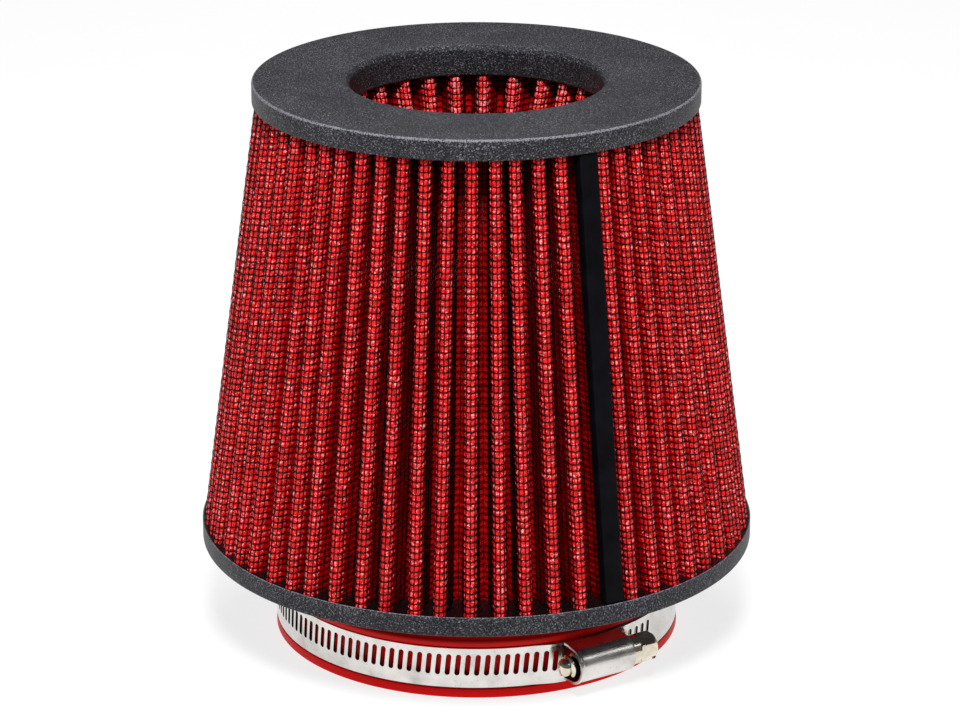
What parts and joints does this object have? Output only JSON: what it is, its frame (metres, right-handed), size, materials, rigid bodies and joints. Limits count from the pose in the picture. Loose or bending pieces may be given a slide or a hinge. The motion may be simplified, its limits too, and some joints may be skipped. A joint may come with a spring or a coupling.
{
  "type": "cone air filter",
  "caption": "Clamp-on cone air filter with a pleated cotton cone, an inverted inner cone under an open top ring, a rubber neck and a worm-drive clamp.",
  "frame": {"origin": "on the filter's axis, at the lower end of the rubber neck", "axes": "+Z along the filter's axis from the neck to the top ring; -Y towards the slotted front of the clamp, with the clamp screw between -Y and +X"},
  "size_m": [0.155, 0.155, 0.1591],
  "materials": {
    "moulded_polyurethane": "satin, fine grain",
    "oiled_cotton": "oiled, slightly glossy",
    "coated_wire": "satin black",
    "black_clip": "satin black",
    "red_rubber": "satin",
    "stainless_steel": "polished",
    "zinc_plated_steel": "bright, slightly yellow"
  },
  "bodies": {
    "filter": {"top_ring": "moulded_polyurethane", "base_flange": "moulded_polyurethane", "inner_end_cap": "moulded_polyurethane", "outer_screen": "coated_wire", "outer_gauze": "oiled_cotton", "outer_backing_screen": "coated_wire", "outer_seam_clip": "black_clip", "inner_screen": "coated_wire", "inner_gauze": "oiled_cotton", "inner_backing_screen": "coated_wire", "inner_seam_clip": "black_clip", "rubber_neck": "red_rubber"},
    "clamp": {"clamp_band": "stainless_steel", "clamp_housing": "stainless_steel"},
    "screw": {"clamp_screw": "zinc_plated_steel"},
    "tail": {"clamp_tail": "stainless_steel"}
  },
  "joints": [
    {"name": "clamp_turn", "type": "hinge", "parent": "filter", "child": "clamp", "pos_m": [0, 0, 0.0087], "axis": [0, 0, 1], "continuous": true},
    {"name": "screw_turn", "type": "hinge", "parent": "clamp", "child": "screw", "pos_m": [0.03331, -0.05229, 0.0097], "axis": [-0.8434, -0.5373, 0], "range_deg": [-720, 1080]},
    {"name": "tail_slide", "type": "hinge", "parent": "clamp", "child": "tail", "pos_m": [0, 0, 0.0087], "axis": [0, 0, 1], "range_deg": [-5.4, 8.1]}
  ],
  "couplings": [
    {"joint": "tail_slide", "follows": "screw_turn", "ratio": 0.0075}
  ]
}
